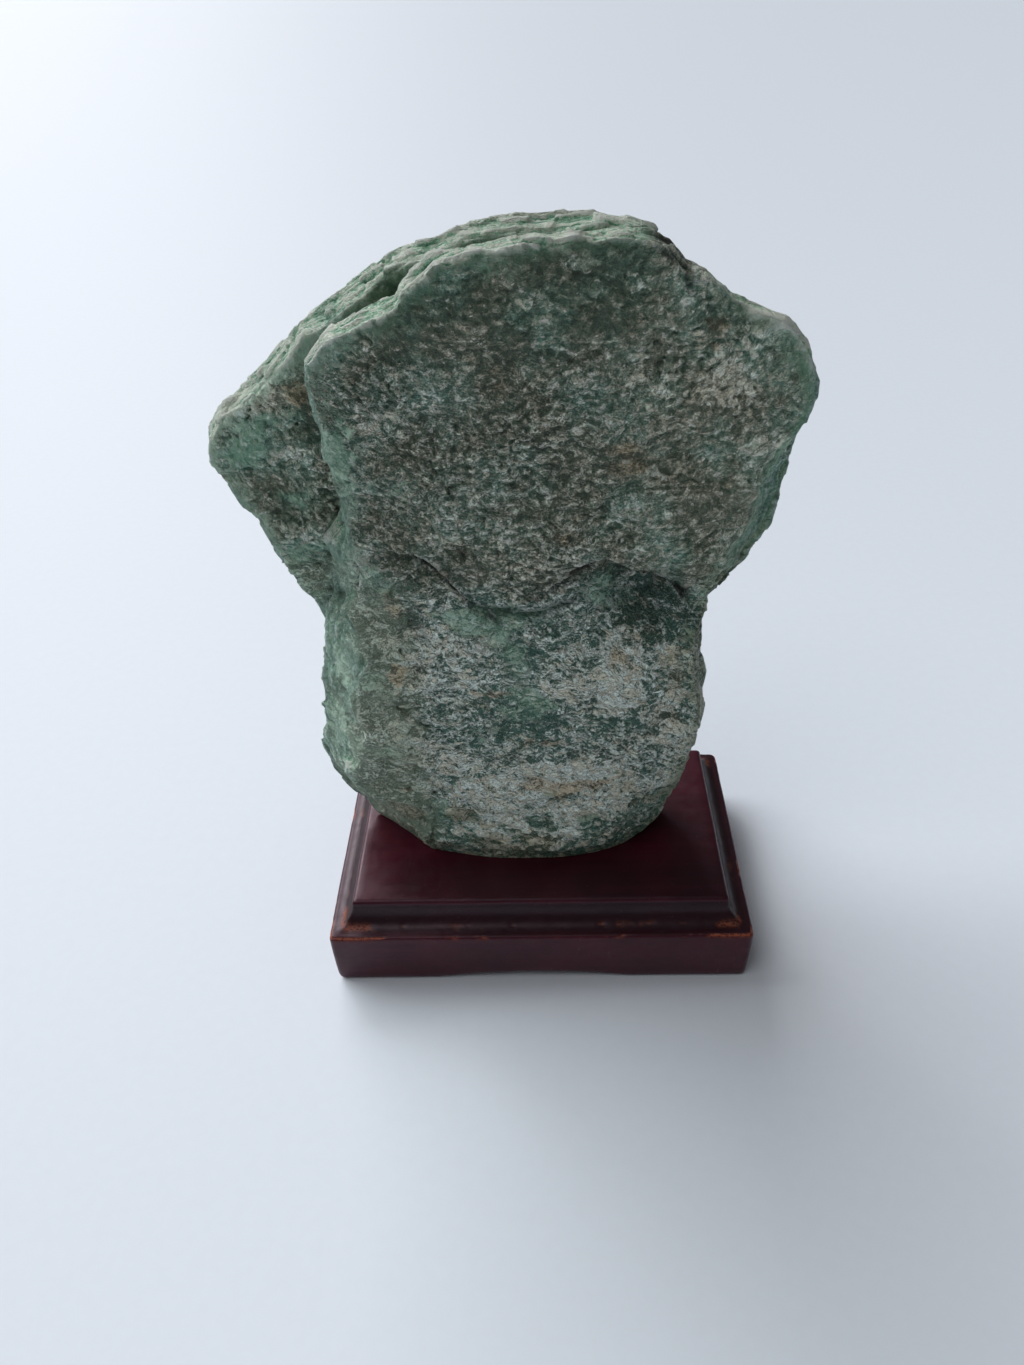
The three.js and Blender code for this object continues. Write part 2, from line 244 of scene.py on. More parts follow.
def turned(points, angle):
    """Points turned about the Y axis, by an angle for each of them."""
    along = points[:, 0] * np.cos(angle) + points[:, 2] * np.sin(angle)
    across = -points[:, 0] * np.sin(angle) + points[:, 2] * np.cos(angle)
    return np.stack([along, points[:, 1], across], axis=1)


def grain_angle(points):
    """The flakes fan out on the upper face and dip to the right on the lump below it."""
    across = points[:, 0] + 34 * noise(points / GRAIN_PATCH, SEED)
    upper = ease(points[:, 2], FAN_LOW, FAN_HIGH)
    angle = upper * across + (1 - upper) * (LUMP_DIP + LUMP_FAN * across)
    return np.radians(GRAIN_STEP) * np.round(angle / GRAIN_STEP)


def face_relief(points):
    """Height in mm of the split faces: swells, broken steps, crumbs and mica flakes."""
    swells = 0.45 * fractal(points / 15, SEED + 1, 2) + 0.3 * fractal(points / 4.5, SEED + 5, 3)
    steps = 2.4 * fractal(points / [14, 16, 9], SEED + 9, 3)
    whole = np.floor(steps)
    broken = 0.4 * (whole + ease(steps - whole, 0, 0.2))
    grain = turned(points, grain_angle(points)) / FLAKE
    warp = 0.35 * np.stack([noise(points / 1.3, SEED + 13 + axis) for axis in range(3)], axis=1)
    number, place = cells(grain + warp, SEED + 17)
    tilt = place[:, 0] * (number - 0.5) + place[:, 2] * (np.mod(number * 7, 1) - 0.5)
    crumbly = 0.6 + 0.5 * fractal(points / 13, SEED + 19, 2)
    crumbs = 0.5 * (number - 0.5) + 0.5 * tilt - 0.7 * (place**2).sum(axis=1)
    return swells + broken + crumbly * crumbs + 0.1 * fractal(points / 1.2, SEED + 20, 1)


def edge_relief(points):
    """Height in mm of the broken edges, where the rock's thin sheets end one beside another."""
    warp = 1.3 * fractal(points / [14, 9, 14], SEED + 21, 2) + 0.5 * np.sin(points[:, 1] * 1.1)
    sheet = (points[:, 1] + warp) / SHEET
    whole = np.floor(sheet)
    share = sheet - whole
    blend = ease(share, 0.7, 1)

    def reach(index):
        """How far out a sheet ends: its number stands in for y, which itself doesn't count."""
        level = np.stack([index * 0, index * 7.31, index * 0], axis=1)
        plate, _ = cells(points / [6, FAR, 6] + level, SEED + 25)
        return 0.45 * fractal(points / [9, FAR, 9] + level, SEED + 29, 2) + 0.9 * (plate - 0.5)

    ends = reach(whole) * (1 - blend) + reach(whole + 1) * blend
    groove = 0.25 * np.exp(-(((share - 0.85) / 0.12) ** 2))
    return ends - groove + 0.12 * fractal(points / 1.1, SEED + 31, 2)


def frayed(points):
    """Points shaken about a little, so that a line drawn through them is ragged."""
    return points + 0.5 * fractal(points / 3, SEED + 41, 3)[:, None]


def cut(points, line, deep, wide):
    """Depth of a crack along a line: ragged, and shallower towards its ends."""
    distance, above = from_line(frayed(points), line)
    ends = ease(points[:, 0], line[0][0] - 1, line[0][0] + 3)
    ends = ends * ease(points[:, 0], line[-1][0] + 1, line[-1][0] - 3)
    uneven = 1 + 0.4 * noise(points / 3, SEED + 43)
    lip = 0.3 * np.exp(-((distance / 2.6) ** 2)) * ease(above, 0, 0.5)
    return (deep * uneven * np.exp(-((distance / wide) ** 2)) - lip) * ends


def openness(points):
    """How far the long crack gapes: hardly at its left end, most where it runs down."""
    x = points[:, 0]
    return 0.3 + 0.7 * ease(x, -26, -21) * (1 - 0.5 * ease(x, -14, -7))


def overhang(points):
    """How much of the cut under the hollow's upper edge there is: little at its left end."""
    return 0.3 + 0.7 * ease(points[:, 0], 4, 10)


def front_features(points):
    """How far the front face is pushed in (mm) at its cracks, hollows and ridges."""
    x, z = points[:, 0], points[:, 2]
    depth = cut(points, CRACK, 1.7, 0.9) * openness(points)
    depth += cut(points, HOLLOW_EDGE, 1.7, 1) * overhang(points)
    depth += cut(points, SMALL_CRACK, 0.7, 0.5) + cut(points, SHOULDER_CRACK, 0.8, 0.8)
    lump_side = ease(x, 24, 27) * ease(z, LUMP_FULL, 84) * ease(z, 48, 60)
    crack_z = np.interp(x, *np.transpose(CRACK))
    upper_z = np.interp(x, *np.transpose(HOLLOW_EDGE))
    tongue = ease(z, crack_z - 0.4, crack_z + 0.4) * ease(z, upper_z + 0.4, upper_z - 0.4)
    depth += 0.9 * lump_side - 1.1 * tongue * ease(x, -5, -1) * ease(x, 11, 7)
    hollow = 3.2 * bump(points, 25, 94.5, 6.2, 7) + 1.6 * bump(points, 16, 101, 6, 4)
    dent = 0.8 * bump(points, -23, 89, 3, 5.5)
    distance, _ = from_line(points, FLANK_RIDGE)
    ridge = 0.25 * np.exp(-((distance / 1.8) ** 2)) * (1 + 0.6 * noise(points / 3, SEED + 45))
    return depth + hollow + dent - ridge + 0.7 * peeled(points) * ease(x, -8, -22)


def crease_wander(points):
    """How far the long crease at the lump's left side wanders to the right, in mm."""
    x, y, z = points.T
    beside = ease(x, -20, -28) * ease(y, 6, -5) * ease(z, 32, 44) * ease(z, 112, 104)
    return 3 * fractal(points / [14, 14, 9], SEED + 49, 3) * beside


def peeled(points):
    """0 on the layer left along the lump's left margin, and 1 to the right of its ragged edge."""
    drift = 3.5 * fractal(points / [9, 9, 7], SEED + 47, 4)
    return ease(points[:, 0] + drift, -27.2, -26.6) * ease(points[:, 2], 108, 100)


def shape_stone(piece):
    """Moves the stone's surface: its relief everywhere but in the socket, then the front's features."""
    mesh = piece.data
    points = points_of(mesh)
    edges = edges_of(mesh)
    normals = spread(normals_of(mesh), edges, 8)
    normals /= np.linalg.norm(normals, axis=1)[:, None]
    ragged = 0.1 * fractal(points / 4, SEED + 35)
    flat = ease(np.abs(normals[:, 1]) + ragged, 0.5, 0.85)
    relief = flat * face_relief(points) + (1 - flat) * edge_relief(points)
    seated = ease(points[:, 2], STAND_TOP - 0.5, STAND_TOP + 5)
    moved = points + normals * (relief * seated)[:, None]
    front = ease(normals[:, 1], -0.3, -0.8) * ease(points[:, 1], -3, -7)
    moved[:, 1] += front_features(points) * front
    moved[:, 0] += crease_wander(points)
    put_points(mesh, moved)


# Patches on the front face as (x, z, half width, half height, strength).
# Most pale patches are the stone's paler colour; those at (26, 91), (42.5, 151) and (30, 159) are
# painted highlights: a lit streak in the hollow and lit chips along the right shoulder's crest.
PALE_AND_LIT = [
    (15, 78, 11, 9, 1.1), (-17, 85, 8, 8, 1.7), (-2.6, 49, 24, 7, 1.4), (-2, 107, 14, 5, 0.5),
    (25, 141, 11, 10, 0.35), (35, 150, 6, 5, 0.4), (-28.4, 134.5, 4, 3, 0.9), (30, 57, 6, 14, 0.6),
    (-9, 33, 14, 7, 0.5), (-33, 93, 2.5, 4, 1), (-33, 107, 2.5, 4, 1), (-47, 112, 5, 12, 0.5),
    (26, 91, 3, 1.2, 1.2), (42.5, 151, 6, 2, 1), (30, 159, 3, 2, 1.4), (-57, 134, 6, 5, 1),
    (37, 128, 13, 18, 0.4), (5, 39, 26, 5, 0.5), (-28.5, 72, 4, 22, 0.7),
]
GREEN = [
    (-2, 80, 5, 9, 1.3), (-35, 122, 4, 16, 0.9), (-26, 126, 5, 9, 0.6), (-9, 161.5, 12, 3, 0.7),
    (16, 163, 8, 3, 0.6), (47, 138, 4, 10, 0.5), (-4, 91, 16, 3, 0.9), (13, 98, 8, 5, 0.8),
    (-43, 72, 5, 30, 1.2), (-30, 152, 6, 4, 0.9), (-56, 128, 5, 9, 1.4),
    (-32, 70, 4, 22, 0.6), (-34, 50, 6, 8, 0.5), (-50, 132, 10, 7, 0.7), (-47, 108, 4, 14, 0.5),
    (-33, 98, 4, 10, 0.8),
]
# Most dark patches are the stone's darker colour; those at (24.5, 93) and (15, 102) are painted shade
# in the hollow and under its overhanging edge.
DARK_AND_SHADED = [
    (12, 158, 8, 7, 0.8), (-25, 92, 3.5, 3, 0.9), (-1, 66.5, 22, 4.5, 1), (24.5, 93, 8, 9, 0.5),
    (14.8, 129, 9, 8, 0.5), (32.7, 66.5, 1.6, 3, 1.4), (31.6, 149.5, 3, 5, 1),
    (24.5, 76, 1.5, 12, 0.8), (0, 156, 24, 8, 0.3),
    (-16, 152, 14, 7, 0.5), (15, 102, 8, 3, 0.9), (2, 30, 20, 6, 0.4), (-44, 128, 4, 6, 0.6),
]
RUST = [
    (19, 79.5, 4, 3, 1), (-28.8, 76, 1.5, 4, 1), (-1.2, 61.5, 7, 2, 0.7), (-33, 36, 6, 5, 0.8),
    (-8.8, 74.5, 4.8, 1.3, 2), (-43, 138, 3, 5, 0.9), (-24.8, 152.7, 5, 2, 1), (5, 111, 9, 3, 0.6),
    (8, 98, 4, 2, 0.6), (20, 127, 10, 6, 0.8), (12, 45, 12, 4, 0.5), (32, 149, 4, 7, 0.9),
    (-4, 140, 9, 8, 0.35),
    (-16, 36, 7, 4, 0.6), (24, 39, 7, 5, 0.6), (31, 74, 4, 14, 0.6), (-28.5, 86, 3, 14, 0.5),
    (0, 48, 24, 4, 0.5), (-4, 27, 30, 5, 0.6),
]


def patchiness(points, patches, size, seed):
    """How strongly a colour shows: the named patches in front, drifting clouds elsewhere."""
    named = sum(strength * bump(points, *patch) for *patch, strength in patches)
    front = ease(points[:, 1], 2, -2)
    ragged = fractal(points / [size, size, size * 0.6], seed, 4)
    share = 1 - front * (0.75 - 0.27 * ease(points[:, 2], LUMP_TOP, LUMP_FULL))
    return named * front * (0.9 + 0.6 * ragged) + ragged * share


def inner_breaks(points):
    """How near a point on the front is to the cracks and the hollow, and the painted shade in their
    bottoms and under the hollow's overhanging edge.
    """
    near = bump(points, 24, 95, 9, 10)
    # dark is painted shade: broad in the hollow and under its overhanging edge, narrow along the
    # cracks. It is kept as the shade number.
    dark = 0.2 * bump(points, 24.5, 93.5, 7, 7.5)
    dark += 0.5 * bump(points, 20, 101.5, 10, 2.6) + 0.35 * bump(points, 27, 98, 5, 6)
    for line, wide, deep in ((CRACK, 0.9, openness(points)), (HOLLOW_EDGE, 1.7, overhang(points)),
                             (SMALL_CRACK, 0.7, 0.8), (SHOULDER_CRACK, 0.6, 1)):
        distance, above = from_line(frayed(points), line)
        uneven = (0.9 + 0.6 * fractal(points / 4, SEED + 43, 2)) * deep
        near = np.maximum(near, np.exp(-((distance / 4) ** 2)))
        shadow = ease(above, -0.5, 0.5) * 0.45 + 0.15
        dark = np.maximum(dark, uneven * np.exp(-((distance / wide) ** 2)))
        dark = np.maximum(dark, shadow * uneven * np.exp(-((distance / 2) ** 2)))
    reach = -3 + 6 * ease(points[:, 0], -5, 5)
    front = ease(points[:, 1], reach, reach - 3)
    return near * front, np.clip(dark * front, 0, 1)


MARGIN_ROUNDS = 70  # rounds of smoothing over which the rims fade into the faces


def mark_stone(piece):
    """Numbers on the finished mesh for the material: edges, ridges, painted shade at the cracks and
    hollow, how far each part faces up for painted top light, and patches.
    """
    mesh = piece.data
    points = points_of(mesh)
    edges = edges_of(mesh)
    normals = normals_of(mesh)
    near, dark = inner_breaks(points)
    broad_normals = spread(normals, edges, 12)
    broad = ((points - spread(points, edges, 24)) * broad_normals).sum(axis=1)
    fine = ((points - spread(points, edges, 3)) * spread(normals, edges, 3)).sum(axis=1)
    ragged = 0.24 * fractal(points / 5, SEED + 37, 4)
    edge = ease(np.abs(spread(normals, edges, 14)[:, 1]) + ragged, 0.78, 0.45) * (1 - near)
    edge *= ease(spread(edge, edges, MARGIN_ROUNDS), 0.2, 0.42)
    keep_number(mesh, "broad_ridge", broad * (1 - near))
    # The fine relief kept here lightens small crests and darkens small pits in the material: painted
    # light and shade.
    keep_number(mesh, "fine_relief_shading", fine)
    keep_number(mesh, "edge", edge)
    keep_number(mesh, "margin", spread(edge, edges, MARGIN_ROUNDS))
    keep_number(mesh, "shade", dark)
    # Painted top light: how far each part faces up. The material lightens the rims that face up and
    # shades those that don't.
    drift = 0.25 * fractal(points / [9, 9, 6], SEED + 53, 4)
    keep_number(mesh, "painted_top_light", ease(spread(normals, edges, 20)[:, 2] + drift, -0.1, 0.6))
    for name, patches, size, seed in (("pale", PALE_AND_LIT, 9, 51), ("green", GREEN, 12, 57),
                                      ("dark", DARK_AND_SHADED, 10, 63), ("rust", RUST, 6, 69)):
        keep_number(mesh, name, patchiness(points, patches, size, SEED + seed))


# Places on the stone's flat map, each as its lower left corner and its size.
MAP_FRONT = ((0.005, 0.365), (0.485, 0.63))
MAP_BACK = ((0.51, 0.365), (0.485, 0.63))
MAP_LEFT_EDGE = ((0.005, 0.225), (0.99, 0.13))
MAP_RIGHT_EDGE = ((0.005, 0.085), (0.99, 0.13))
MAP_HIDDEN_FRONT = ((0.005, 0.005), (0.485, 0.07))
MAP_HIDDEN_BACK = ((0.51, 0.005), (0.485, 0.07))
MAP_CENTRE_Z = 95  # height that the two edge strips turn about
FACING = 0.6  # share of a face's normal along y, past which it counts as front or back
LOOK_CELL = 1.5  # mm across the squares in which the outermost faces are looked for
LOOK_DEPTH = 3  # mm behind the outermost point, up to which a face isn't hidden


def outermost(middles, facing):
    """Which of the faces looking to the front (-1) or back (1) have nothing before them."""
    cell = np.round(middles[:, [0, 2]] / LOOK_CELL).astype(int)
    cell -= cell.min(axis=0)
    index = cell[:, 0] * (cell[:, 1].max() + 1) + cell[:, 1]
    reach = np.full(index.max() + 1, -np.inf)
    np.maximum.at(reach, index, middles[:, 1] * facing)
    return middles[:, 1] * facing > reach[index] - LOOK_DEPTH


def lay_out(piece):
    """A flat map of the stone: front, back, two strips round its edge, and its hidden faces."""
    mesh = piece.data
    corner_points = np.empty(len(mesh.loops), np.int64)
    mesh.loops.foreach_get("vertex_index", corner_points)
    corner_points = corner_points.reshape(-1, 3)
    points = points_of(mesh)
    corners = points[corner_points]
    middles = corners.mean(axis=1)
    normals = spread(normals_of(mesh), edges_of(mesh), 12)[corner_points].mean(axis=1)
    facing = normals / np.maximum(np.linalg.norm(normals, axis=1), TINY)[:, None]
    low, high = points.min(axis=0), points.max(axis=0)
    seen = (corners - low) / (high - low)
    turn = np.arctan2(corners[..., 0], MAP_CENTRE_Z - corners[..., 2]) / (2 * math.pi)
    side = np.where(middles[:, 0] < 0, -1, 1)
    turn = np.where(np.abs(turn) > 0.25, side[:, None] * np.abs(turn), turn)
    strip = np.stack([np.abs(turn) * 2, seen[..., 1]], axis=2)
    front = facing[:, 1] < -FACING
    back = facing[:, 1] > FACING
    shown = np.zeros(len(middles), bool)
    shown[front] = outermost(middles[front], -1)
    shown[back] = outermost(middles[back], 1)
    rest = ~front & ~back
    flat = seen[..., [0, 2]]
    places = np.zeros((len(middles), 3, 2))
    for chosen, source, (corner, size) in (
        (front & shown, flat, MAP_FRONT),
        (back & shown, flat, MAP_BACK),
        (rest & (side < 0), strip, MAP_LEFT_EDGE),
        (rest & (side > 0), strip, MAP_RIGHT_EDGE),
        (front & ~shown, flat, MAP_HIDDEN_FRONT),
        (back & ~shown, flat, MAP_HIDDEN_BACK),
    ):
        places[chosen] = source[chosen] * size + corner
    layer = mesh.uv_layers.new(name="OFBake")
    layer.uv.foreach_set("vector", places.astype(np.float32).ravel())


def make_stone():
    piece = copy_of(STONE_NODE, "raw_fuchsite")
    remesh = ("REMESH", {"mode": "VOXEL", "voxel_size": STONE_VOXEL * MM})
    with_modifiers(piece, remesh, ("SMOOTH", {"factor": 0.5, "iterations": 4}))
    shape_stone(piece)
    share = min(1, STONE_FACES / (2 * len(piece.data.polygons)))
    with_modifiers(piece, ("DECIMATE", {"ratio": share}), ("TRIANGULATE", {}))
    piece.data.polygons.foreach_set("use_smooth", [True] * len(piece.data.polygons))
    mark_stone(piece)
    lay_out(piece)
    piece.data.materials.append(fuchsite())
    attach(piece, "root")
    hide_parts(STONE_NODE)


# ---- The stand's shape ----

PLINTH_TOP = STAND_TOP * 16 / 22.5  # the outer block is 16 mm high where the stand is 22.5
UNDERSIDE_INSET = 30.8  # inset of the section's two ends, close to the stand's middle
LEDGE_WIDTH = 1.2
COVE_WIDTH = 4.3
TOP_ROUND = 1.2
EDGE_ROUND = 0.9
FOOT_ROUND = 1.2
PLINTH_TAPER = 0.5
CORNER_RADIUS = 1.3
CORNER_TIGHTENING = 0.1  # how much the corners' radius shrinks for each mm of inset
CORNER_RADIUS_MIN = 0.5
ARCH_LENGTH = 47
ARCH_RISE = 1.9
ARCH_CENTRE_X = -2
SEAT_GAP = 0.45  # how much larger than the stone's foot the socket is, all round
SOCKET_REACH = 4  # how far the socket's cutter rises past the stand's top
SOCKET_VOXEL = 0.5
RING_STEP = 0.8  # distance between points along the stand's sides


def moulding():
    """The stand's section from the middle of the underside to the top, as (inset, z) pairs."""
    quarter = np.linspace(0, math.pi / 2, 7)
    section = [(inset, 0) for inset in (UNDERSIDE_INSET, 28, 24, 20, 16, 12, 8, 4, 2)]
    section += [(PLINTH_TAPER + FOOT_ROUND * (1 - math.sin(a)), FOOT_ROUND * (1 - math.cos(a)))
                for a in quarter]
    section += [(PLINTH_TAPER * (1 - share) ** 2, PLINTH_TOP * share)
                for share in np.linspace(0.1, 0.93, 14)]
    section += [(EDGE_ROUND * (1 - math.cos(a)), PLINTH_TOP - EDGE_ROUND * (1 - math.sin(a)))
                for a in quarter]
    rise = STAND_TOP - TOP_ROUND - PLINTH_TOP
    section += [(LEDGE_WIDTH + COVE_WIDTH * math.sin(a), PLINTH_TOP + rise * (1 - math.cos(a)))
                for a in np.linspace(0, math.pi / 2, 14)]
    inner = LEDGE_WIDTH + COVE_WIDTH
    section += [(inner + TOP_ROUND * (1 - math.cos(a)), STAND_TOP - TOP_ROUND * (1 - math.sin(a)))
                for a in quarter[1:]]
    inner += TOP_ROUND
    steps = np.linspace(0, UNDERSIDE_INSET - inner, 16)[1:]
    return section + [(inner + step, STAND_TOP) for step in steps]


def stand_ring(inset, z):
    """Points round the stand at one inset and height, a rectangle with rounded corners."""
    half = np.array([stand_high.x - stand_low.x, stand_high.y - stand_low.y]) / 2 / MM
    radius = max(CORNER_RADIUS - inset * CORNER_TIGHTENING, CORNER_RADIUS_MIN)
    inner = half - inset - radius
    counts = (2 * half / RING_STEP).astype(int)
    ring = []
    for corner, (sign_x, sign_y) in enumerate(((1, 1), (-1, 1), (-1, -1), (1, -1))):
        middle = inner * (sign_x, sign_y)
        for step in range(6):
            angle = (corner + step / 5) * math.pi / 2
            ring.append((middle[0] + radius * math.cos(angle), middle[1] + radius * math.sin(angle), z))
        along_x = corner % 2 == 0
        start = np.array(ring[-1])
        end = start * ((-1, 1, 1) if along_x else (1, -1, 1))
        count = counts[0] if along_x else counts[1]
        ring += [tuple(start + (end - start) * share) for share in np.linspace(0, 1, count)[1:-1]]
    return ring


def stand_block():
    """The stand as rings of points joined into one closed mesh, without its arch and socket."""
    rings = [stand_ring(inset, z) for inset, z in moulding()]
    count = len(rings[0])
    faces = [list(range(count))[::-1]]
    for level in range(len(rings) - 1):
        low, high = level * count, (level + 1) * count
        for i in range(count):
            j = (i + 1) % count
            faces.append((low + i, low + j, high + j, high + i))
    faces.append([(len(rings) - 1) * count + i for i in range(count)])
    points = np.array([point for ring in rings for point in ring])
    mesh = bpy.data.meshes.new("carved_stand")
    mesh.from_pydata(((points + STAND_MIDDLE) * MM).tolist(), [], faces)
    piece = bpy.data.objects.new("carved_stand", mesh)
    bpy.context.scene.collection.objects.link(piece)
    return piece


# Worn places along the plinth's top edge and at a mitre, as (x, y, reach, strength).
WORN = [
    (-44, -31, 7, 1), (46, -31, 6, 1), (-46, -27, 3.5, 0.9), (-20, -31, 14, 0.35),
    (20, -31, 18, 0.3), (49, -12, 4, 0.8), (-49, 10, 5, 0.7), (12, 31, 12, 0.5),
    (-47, 30, 5, 0.9), (48, 30, 4, 0.8),
]


def shape_stand(piece):
    """The arch underneath, the unevenness of hand work, and dents along the plinth's edge."""
    mesh = piece.data
    points = points_of(mesh)
    normals = normals_of(mesh)
    from_middle = np.clip(np.abs(points[:, 0] - ARCH_CENTRE_X) / (ARCH_LENGTH / 2), 0, 1)
    arch = ARCH_RISE * np.cos(from_middle * math.pi / 2)
    points[:, 2] += arch * ease(points[:, 2], 6, 0)
    uneven = 0.07 * fractal(points / 16, SEED + 81, 2) + 0.04 * fractal(points / 4, SEED + 83, 2)
    lip = np.exp(-(((points[:, 2] - PLINTH_TOP) / 0.7) ** 2))
    lip *= ease(np.abs(normals[:, 2]), 0.99, 0.85)
    worn = 0
    for x, y, reach, strength in WORN:
        away = np.hypot(points[:, 0] - x, points[:, 1] - y) / reach
        worn = worn + strength * np.exp(-(away**2))
    ragged = fractal(points / 2.2, SEED + 85, 3)
    worn = lip * ease(worn + 0.45 * ragged, 0.45, 0.8)
    nicks = lip * ease(fractal(points / 1.3, SEED + 89, 2), 0.7, 1.1)
    off_floor = ease(points[:, 2], 0.2, 2)
    points += normals * ((uneven - 0.3 * worn - 0.3 * nicks) * off_floor)[:, None]
    put_points(mesh, points)
    keep_number(mesh, "worn", np.clip(worn + 0.5 * nicks, 0, 1))


def socket_cutter():
    """The foot of the stone, smoothed as the stone is and a little larger all round."""
    cutter = copy_of(STONE_NODE, "socket_cutter")
    shape = bmesh.new()
    shape.from_mesh(cutter.data)
    parts = shape.verts[:] + shape.edges[:] + shape.faces[:]
    plane = {"plane_co": (0, 0, (STAND_TOP + SOCKET_REACH) * MM), "plane_no": (0, 0, 1)}
    sliced = bmesh.ops.bisect_plane(shape, geom=parts, clear_outer=True, **plane)
    rim = [part for part in sliced["geom_cut"] if isinstance(part, bmesh.types.BMEdge)]
    bmesh.ops.edgeloop_fill(shape, edges=rim)
    shape.to_mesh(cutter.data)
    shape.free()
    remesh = ("REMESH", {"mode": "VOXEL", "voxel_size": SOCKET_VOXEL * MM})
    with_modifiers(cutter, remesh, ("SMOOTH", {"factor": 0.5, "iterations": 3}))
    points = points_of(cutter.data)
    normals = spread(normals_of(cutter.data), edges_of(cutter.data), 4)
    put_points(cutter.data, points + normals * SEAT_GAP)
    return cutter


def mark_stand(piece):
    """A number for the material: where the mesh has ridges."""
    mesh = piece.data
    points = points_of(mesh)
    edges = edges_of(mesh)
    normals = normals_of(mesh)
    ridge = ((points - spread(points, edges, 2)) * normals).sum(axis=1)
    keep_number(mesh, "ridge", ridge)


def make_stand():
    piece = stand_block()
    shape_stand(piece)
    cutter = socket_cutter()
    cut_out = {"operation": "DIFFERENCE", "solver": "EXACT", "object": cutter}
    with_modifiers(piece, ("BOOLEAN", cut_out), ("TRIANGULATE", {}))
    bpy.data.objects.remove(cutter)
    piece.data.polygons.foreach_set("use_smooth", [True] * len(piece.data.polygons))
    piece.data.set_sharp_from_angle(angle=math.radians(40))
    mark_stand(piece)
    piece.data.materials.clear()
    piece.data.materials.append(lacquer())
    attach(piece, "root")
    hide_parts(STAND_NODE)


# ---- Materials ----


def paint(red, green, blue):
    """A colour given as it shows on screen, from 0 to 255, as light for the shaders."""
    shown = np.array([red, green, blue]) / 255
    light = np.where(shown <= 0.04045, shown / 12.92, ((shown + 0.055) / 1.055) ** 2.4)
    return (*light, 1)


class Paper:
    """A material's node tree, with short calls that add nodes and wire them."""

    def __init__(self, name):
        self.material = bpy.data.materials.new(name)
        self.material.use_nodes = True
        self.tree = self.material.node_tree
        self.tree.nodes.clear()
        corner = self.node("TexCoord").outputs["Object"]
        self.place = self.vector("SUBTRACT", corner, tuple(STAND_MIDDLE * MM))

    def put(self, socket, value):
        if isinstance(value, bpy.types.NodeSocket):
            self.tree.links.new(value, socket)
        else:
            socket.default_value = value

    def node(self, kind, inputs=None, **settings):
        made = self.tree.nodes.new("ShaderNode" + kind)
        for setting, value in settings.items():
            setattr(made, setting, value)
        for socket, value in (inputs or {}).items():
            self.put(made.inputs[socket], value)
        return made

    def math(self, operation, a, b=0.0, c=0.0, clamp=False):
        inputs = {0: a, 1: b, 2: c}
        return self.node("Math", inputs, operation=operation, use_clamp=clamp).outputs[0]

    def times(self, a, b):
        return self.math("MULTIPLY", a, b)

    def plus(self, base, value, share=None, clamp=False):
        """base + value, or base + value * share where a share is given."""
        if share is None:
            return self.math("ADD", base, value, clamp=clamp)
        return self.math("MULTIPLY_ADD", value, share, base, clamp)

    def vector(self, operation, a, b=(0, 0, 0), c=(0, 0, 0)):
        inputs = {0: a, 1: b, 2: c} if operation == "MULTIPLY_ADD" else {0: a, 1: b}
        made = self.node("VectorMath", inputs, operation=operation)
        return made.outputs["Value" if operation == "DOT_PRODUCT" else "Vector"]

    def scaled(self, vector, size):
        """Object coordinates divided by a size in mm, so that patterns are about one size wide."""
        size = (size, size, size) if isinstance(size, (int, float)) else size
        return self.vector("MULTIPLY", vector, tuple(1 / MM / side for side in size))

    def noise(self, vector, detail=3.0, roughness=0.55, output="Factor"):
        inputs = {"Vector": vector, "Scale": 1, "Detail": detail, "Roughness": roughness}
        return self.node("TexNoise", inputs).outputs[0 if output == "Factor" else 1]

    def spread_noise(self, vector, detail=3.0, roughness=0.55, reach=1.0):
        """Noise with its middle at 0, about -reach / 4 to reach / 4."""
        return self.plus(-reach / 2, self.noise(vector, detail, roughness), reach)

    def split(self, vector):
        return self.node("SeparateXYZ", {0: vector}).outputs

    def range(self, value, start, end, low=0.0, high=1.0):
        """Smooth step from low to high as value runs from start to end."""
        inputs = {"Value": value, "From Min": start, "From Max": end, "To Min": low, "To Max": high}
        return self.node("MapRange", inputs, interpolation_type="SMOOTHSTEP").outputs[0]

    def mix(self, factor, a, b, blend="MIX"):
        made = self.node("Mix", data_type="RGBA", blend_type=blend)
        self.put(made.inputs[0], factor)
        self.put(made.inputs[6], a)
        self.put(made.inputs[7], b)
        return made.outputs[2]

    def ramp(self, value, *stops):
        made = self.node("ValToRGB", {0: value})
        points = made.color_ramp.elements
        while len(points) < len(stops):
            points.new(1)
        for point, (position, colour) in zip(points, stops):
            point.position = position
            point.color = colour
        return made.outputs[0]

    def number(self, name):
        """A number kept on the mesh by keep_number."""
        return self.node("Attribute", attribute_name=name).outputs["Fac"]

    def bumped(self, height, depth, strength):
        """The surface's direction, tilted by a height pattern that is depth mm deep."""
        inputs = {"Strength": strength, "Distance": depth * MM, "Height": height}
        return self.node("Bump", inputs).outputs[0]

    def surface(self, **inputs):
        shader = self.node("BsdfPrincipled")
        for socket, value in inputs.items():
            self.put(shader.inputs[socket.replace("_", " ")], value)
        output = self.node("OutputMaterial")
        self.tree.links.new(shader.outputs[0], output.inputs["Surface"])
        return self.material


